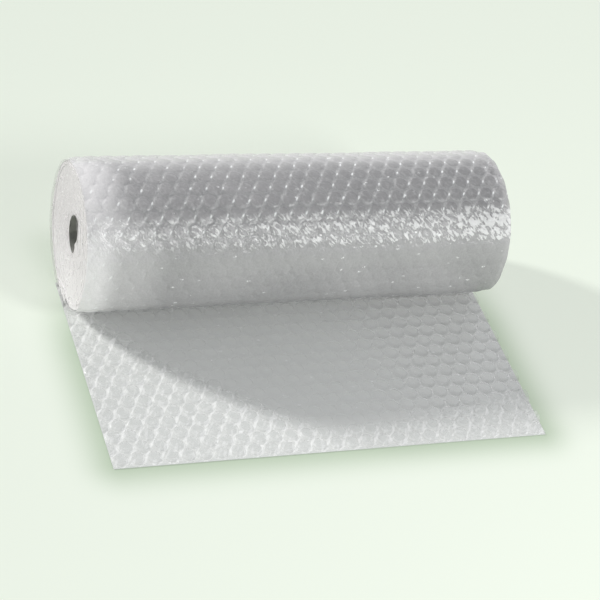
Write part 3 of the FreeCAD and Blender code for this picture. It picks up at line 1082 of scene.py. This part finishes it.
class FILM_OT_outer_layer(bpy.types.Operator):
    """Add the outer layer, with a pillow over each pressed bubble"""

    bl_idname = "film.outer_layer"
    bl_label = "Outer Layer"

    def execute(self, context):
        winding = Winding()
        arcs = winding.open_layers()
        lattice = Lattice(length_of(arcs) - sizes().pillow_depth)
        half = FILM_WIDTH / 2.0
        plan, faces = lattice.cells((-half, half), (0.0, lattice.length), (0.35, 0.7, 0.9, 1.0), 24)
        reach = lattice.reach(plan)
        plump = 0.75 + 0.25 * lattice.chance(plan, 1)
        pillow = plump * np.clip(1.0 - reach ** 2, 0.0, 1.0) ** 0.7
        land = np.clip((reach - 0.8) / 0.3, 0.0, 1.0)
        crease = ripples(plan, 0.003, 0.007, 24, 5) * land
        swell = ripples(plan, 0.03, 0.09, 12, 6)
        flat = follow(arcs, plan[:, 1], np.zeros(len(plan)))
        clarity, milk, crumple = roll_shares(plan, flat, swell)
        depth = sizes().pillow_depth * (0.35 + 0.65 * clarity)
        lift = depth * (pillow - 1.0) + 0.00012 * crease + 0.00022 * (swell - 1.5)
        points = placed(plan[:, 0], follow(arcs, plan[:, 1], lift))
        mesh = make_mesh(
            "outer_layer", points, faces, lattice.uv(plan), clarity=clarity, milk=milk, crumple=crumple)
        facing = np.column_stack([np.zeros(len(plan)), flat - winding.axis])
        facing /= np.linalg.norm(facing, axis=1, keepdims=True)
        soften(mesh, facing, 0.7)
        add_piece(mesh, outer_material())
        return {"FINISHED"}


def pressed(winding, lattice, plan):
    """How far inwards the bubbles of a wound layer reach from its backing."""
    swell = np.clip(1.0 - lattice.reach(plan) ** 3, 0.0, 1.0) ** 0.5
    plump = 0.86 + 0.14 * lattice.chance(plan, 2)
    return -winding.thickness * swell * plump


def edge_strip(winding, side):
    """The outermost pitch of every wound layer at one end: backing film and cut bubbles."""
    step = 0.0012
    arcs = winding.all_layers()
    length = length_of(arcs)
    lattice = Lattice(length)
    half = FILM_WIDTH / 2.0
    across_range = (half - lattice.pitch, half) if side > 0 else (-half, lattice.pitch - half)
    plan, faces = lattice.cells(across_range, (0.0, length), (0.4, 0.75, 0.94, 1.0), 12)
    covered = length_of(winding.covered_layers())
    sunk = 1.3 * sizes().pillow_depth * (plan[:, 1] > covered)
    bubbles = (plan, faces, pressed(winding, lattice, plan) - sunk)
    steps = int(covered / step)
    along = np.repeat(np.linspace(0.0, covered, steps), 2)
    across = np.tile(np.array(across_range), steps)
    strip_plan = np.column_stack([across, along])
    strip = (strip_plan, as_triangles(grid_faces(steps, 2)), np.zeros(len(along)))
    return arcs, lattice, bubbles, strip


def dished(across, along, length):
    """Places across the film once the inner layers have slipped in from the roll's ends."""
    depth = sizes().end_dish * (1.0 - along / length) ** 0.8
    near_end = np.abs(across) / (FILM_WIDTH / 2.0)
    return across - np.sign(across) * depth * near_end ** 8


class FILM_OT_film_edges(bpy.types.Operator):
    """Add the slit edges of all layers at both ends of the roll"""

    bl_idname = "film.film_edges"
    bl_label = "Film Edges"

    def execute(self, context):
        winding = Winding()
        material = cut_material()
        for name, side in (("film_edges_left", -1), ("film_edges_right", 1)):
            arcs, lattice, bubbles, strip = edge_strip(winding, side)
            parts = []
            for plan, faces, lift in (bubbles, strip):
                wander = ripples(plan, 0.02, 0.05, 10, 11 + side)
                section = follow(arcs, plan[:, 1], lift)
                across = dished(plan[:, 0], plan[:, 1], lattice.length)
                at_edge = np.abs(plan[:, 0]) > FILM_WIDTH / 2.0 - 1e-6
                across = across - side * at_edge * 0.0003 * (1.5 + wander)
                parts.append((placed(across, section), faces, lattice.uv(plan)))
            points, faces, uv = joined(parts)
            # Painted glow: the cut edges are whiter away from the open middle and over a band low in front,
            # much more at the left end.
            from_axis = np.hypot(points[:, 1], points[:, 2] - AXIS_HEIGHT)
            turn = turn_of(points[:, 1:])
            lit = smooth(from_axis, HOLE_RADIUS + 0.003, HOLE_RADIUS + 0.006)
            lit = np.maximum(lit, smooth(turn, 190.0, 200.0) * smooth(turn, 240.0, 230.0))
            milk = (0.8 if side < 0 else 0.36) * lit
            mesh = make_mesh(name, points, faces, uv, clarity=np.full(len(points), 0.5), milk=milk)
            add_piece(mesh, material)
        return {"FINISHED"}


class FILM_OT_open_middle(bpy.types.Operator):
    """Add the first layer's bubbles, which line the open middle"""

    bl_idname = "film.open_middle"
    bl_label = "Open Middle"

    def execute(self, context):
        winding = Winding()
        arcs = winding.first_layer()
        length = length_of(arcs)
        lattice = Lattice(length_of(winding.all_layers()))
        half = FILM_WIDTH / 2.0 - lattice.pitch
        plan, faces = lattice.cells((-half, half), (0.0, length), (0.45, 0.8, 0.95, 1.0), 12)
        section = follow(arcs, plan[:, 1], pressed(winding, lattice, plan))
        bubbles = (placed(plan[:, 0], section), faces, lattice.uv(plan))
        mesh = make_mesh("open_middle", *joined([bubbles, self.wall(winding)]))
        add_piece(mesh, middle_material())
        return {"FINISHED"}

    def wall(self, winding):
        """The plain tube behind the bubbles."""
        samples = 96
        angle = np.arange(samples) * FULL_TURN / samples
        circle = winding.axis + MIDDLE_RADIUS * direction(angle).T
        reach = FILM_WIDTH / 2.0 - sizes().end_recess - sizes().end_dish
        # The left end, which the slack first turns squash, has more rings.
        places = np.concatenate([np.linspace(-reach, -0.10, 10), [reach]])
        points = [placed(np.full(samples, across), circle) for across in places]
        faces = as_triangles(grid_faces(len(places), samples, closed=True))
        return np.concatenate(points), faces, np.zeros((len(places) * samples, 2))


def shaded(points):
    """How deep in the roll's shade points of the free end lie, where its relief hardly shows."""
    across, away = points[:, 0], -points[:, 1]
    # Where the shade's left edge lies across the film, by how far from the roll.
    left = np.interp(away, (0.0, 0.04, 0.075, 0.116, 0.15), (-0.15, -0.128, -0.101, -0.047, -0.005))
    share = smooth(across - left, -0.004, 0.014)
    # How far from the roll the shade ends, by where across the film.
    front = np.interp(across, (0.0, 0.07, 0.15), (0.152, 0.146, 0.128))
    return share * smooth(-away, -front, 0.012 - front) * smooth(away, 0.012, 0.034)


class FILM_OT_free_end(bpy.types.Operator):
    """Add the free end, with its bubbles up and its backing on the floor"""

    bl_idname = "film.free_end"
    bl_label = "Free End"

    def execute(self, context):
        size = sizes()
        winding = Winding()
        lattice = Lattice(TAIL_LENGTH - size.free_start)
        half = FILM_WIDTH / 2.0
        rings = (0.25, 0.5, 0.7, 0.84, 0.93, 0.98, 1.0)
        hidden = size.free_start + winding.flat_half
        plan, faces = lattice.cells((-half, half), (-hidden, lattice.length), rings, 24)
        reach = lattice.reach(plan)
        plump = 0.84 + 0.16 * lattice.chance(plan, 3)
        dome = np.clip(1.0 - reach ** 3.4, 0.0, 1.0) ** 0.5 * plump
        land = np.clip((reach - 0.95) / 0.2, 0.0, 1.0)
        crease = ripples(plan, 0.003, 0.007, 24, 8) * land
        height = size.backing_lift + size.bubble_height * dome + 0.00008 * crease

        # Beside the flat spot, the bubbles are pressed flat under the roll.
        outward = -size.free_start - plan[:, 1]
        square = np.clip((winding.radius - winding.rise) ** 2 - outward ** 2, 0.0, None)
        under = winding.axis[1] - np.sqrt(square)
        room = np.where(np.abs(outward) < winding.radius * 0.85, under - 0.0003, 1.0)
        height = np.minimum(height, np.maximum(room, size.backing_lift * 0.5))
        points = np.column_stack([plan[:, 0], outward, height])

        # In the roll's shade the film is painted smooth: its bubble pattern, relief and highlight strokes
        # are faint there, and a painted glow with sparks lies on its right. The pattern is also uneven at
        # random.
        shade = shaded(points)
        uneven = 0.5 + 0.5 * smooth(ripples(plan, 0.03, 0.08, 12, 9), -1.0, 0.5)
        right = smooth(points[:, 0], 0.02, 0.09)
        relief = 1.0 - shade * (0.8 - 0.35 * right)
        clarity = uneven * (1.0 - 0.88 * shade) * (1.0 - 0.25 * right)
        mesh = make_mesh(
            "free_end", points, faces[:, ::-1], lattice.uv(plan), clarity=clarity,
            milk=0.45 * shade * right, crumple=0.85 * (1.0 - shade), relief=relief)
        up = np.tile(np.array([[0.0, 0.0, 1.0]]), (len(mesh.vertices), 1))
        deep = shade * right
        soften(mesh, up, 0.18 * relief * (1.0 - deep) - 0.22 * deep)
        add_piece(mesh, free_material())
        self.add_backing(lattice, winding.flat_half)
        return {"FINISHED"}

    def add_backing(self, lattice, back):
        """The flat backing under the free bubbles, a closed slab on the floor."""
        half = FILM_WIDTH / 2.0
        front = -TAIL_LENGTH
        corners = []
        for height in (0.0, sizes().backing_lift * BACKING_SHARE):
            for across, outward in ((-half, front), (half, front), (half, back), (-half, back)):
                corners.append((across, outward, height))
        points = np.array(corners)
        sides = [(0, 1, 5, 4), (1, 2, 6, 5), (2, 3, 7, 6), (3, 0, 4, 7)]
        faces = np.array([(0, 3, 2, 1), (4, 5, 6, 7)] + sides)
        plan = np.column_stack([points[:, 0], -sizes().free_start - points[:, 1]])
        mesh = make_mesh("free_backing", points, faces, lattice.uv(plan))
        mesh.polygons.foreach_set("use_smooth", np.zeros(len(mesh.polygons), dtype=bool))
        add_piece(mesh, backing_material())


class FILM_OT_studio(bpy.types.Operator):
    """Set the floor, the lamps, the sky and the camera"""

    bl_idname = "film.studio"
    bl_label = "Studio"

    def execute(self, context):
        scene = context.scene
        studio = scene.film_studio
        add_floor()
        add_lamps(studio)
        add_sky(scene, studio)
        add_camera(scene, studio)
        scene.view_settings.view_transform = "Standard"
        return {"FINISHED"}


def add_floor():
    """A wide floor just under the film."""
    half = 4.0
    mesh = bpy.data.meshes.new("floor")
    corners = [(-half, -half, 0.0), (half, -half, 0.0), (half, half, 0.0), (-half, half, 0.0)]
    mesh.from_pydata(corners, [], [(0, 1, 2, 3)])
    mesh.materials.append(floor_material())
    floor = bpy.data.objects.new("floor", mesh)
    floor.location.z = -0.0002
    bpy.context.scene.collection.objects.link(floor)


def aim(lamp, towards):
    """Turn a lamp so that it shines the way that the vector gives."""
    lamp.rotation_euler = towards.to_track_quat("-Z", "Y").to_euler()


def add_lamps(studio):
    """A low sun from behind on the left, and a soft lamp from the front on the right."""
    window = bpy.data.lights.new("window_light", "SUN")
    window.energy = studio.window_strength
    window.angle = math.radians(7.0)
    window.color = (1.0, 0.995, 0.98)
    lamp = bpy.data.objects.new("window_light", window)
    bpy.context.scene.collection.objects.link(lamp)
    aim(lamp, WINDOW_WAY)

    front = bpy.data.lights.new("front_light", "AREA")
    front.energy = studio.front_power
    front.shape = "DISK"
    front.size = 0.4
    lamp = bpy.data.objects.new("front_light", front)
    bpy.context.scene.collection.objects.link(lamp)
    lamp.location = FRONT_PLACE
    aim(lamp, FRONT_TARGET - FRONT_PLACE)


def add_sky(scene, studio):
    """Even light from all round, which the camera and reflections see at full strength."""
    world = bpy.data.worlds.new("sky")
    world.use_nodes = True
    tree = world.node_tree
    background = tree.nodes["Background"]
    background.inputs["Color"].default_value = (0.95, 0.97, 1.0, 1.0)
    path = new_node(tree, "LightPath")
    seen = math_node(tree, "MAXIMUM", path.outputs["Is Camera Ray"], path.outputs["Is Glossy Ray"])
    lift = 1.0 - studio.sky_strength
    strength = fused(tree, seen, lift, studio.sky_strength)
    tree.links.new(strength, background.inputs["Strength"])
    scene.world = world


def add_camera(scene, studio):
    """Camera fitted to the photograph's outline of the roll and the free end."""
    azimuth, elevation, tilt = (
        math.radians(angle) for angle in (studio.azimuth, studio.elevation, studio.camera_roll))
    back = Vector((
        math.sin(azimuth) * math.cos(elevation),
        -math.cos(azimuth) * math.cos(elevation),
        math.sin(elevation)))
    level = (-back).cross(Vector((0.0, 0.0, 1.0))).normalized()
    up = level.cross(-back)
    right = level * math.cos(tilt) + up * math.sin(tilt)
    upright = up * math.cos(tilt) - level * math.sin(tilt)
    data = bpy.data.cameras.new("camera")
    data.sensor_width = SENSOR_WIDTH
    data.lens = studio.focal_pixels / FRAME_PIXELS * SENSOR_WIDTH
    camera = bpy.data.objects.new("camera", data)
    scene.collection.objects.link(camera)
    turn = Matrix((right, upright, back)).transposed().to_4x4()
    place = Vector(studio.target) + back * studio.distance
    camera.matrix_world = Matrix.Translation(place) @ turn
    scene.camera = camera


class FILM_PT_panel(bpy.types.Panel):
    """Sidebar panel with the film's builders and settings"""

    bl_idname = "FILM_PT_panel"
    bl_label = "Bubble Film"
    bl_space_type = "VIEW_3D"
    bl_region_type = "UI"
    bl_category = "Film"

    def draw(self, context):
        layout = self.layout
        for operator in OPERATORS:
            layout.operator(operator.bl_idname)
        for group in (context.scene.film_sizes, context.scene.film_colours, context.scene.film_studio):
            box = layout.box()
            for name in group.__annotations__:
                box.prop(group, name)


OPERATORS = (
    FILM_OT_studio,
    FILM_OT_wound_layers,
    FILM_OT_outer_layer,
    FILM_OT_film_edges,
    FILM_OT_open_middle,
    FILM_OT_free_end,
)
SETTINGS = (
    ("film_sizes", FilmSizes),
    ("film_colours", FilmColours),
    ("film_studio", StudioSettings),
)


def register():
    for name, group in SETTINGS:
        bpy.utils.register_class(group)
        setattr(bpy.types.Scene, name, PointerProperty(type=group))
    for item in OPERATORS + (FILM_PT_panel,):
        bpy.utils.register_class(item)


def unregister():
    for item in reversed(OPERATORS + (FILM_PT_panel,)):
        bpy.utils.unregister_class(item)
    for name, group in reversed(SETTINGS):
        delattr(bpy.types.Scene, name)
        bpy.utils.unregister_class(group)


def main():
    register()
    bpy.ops.film.studio()
    bpy.ops.film.wound_layers()
    bpy.ops.film.outer_layer()
    bpy.ops.film.film_edges()
    bpy.ops.film.open_middle()
    bpy.ops.film.free_end()


if __name__ == "__main__":
    main()
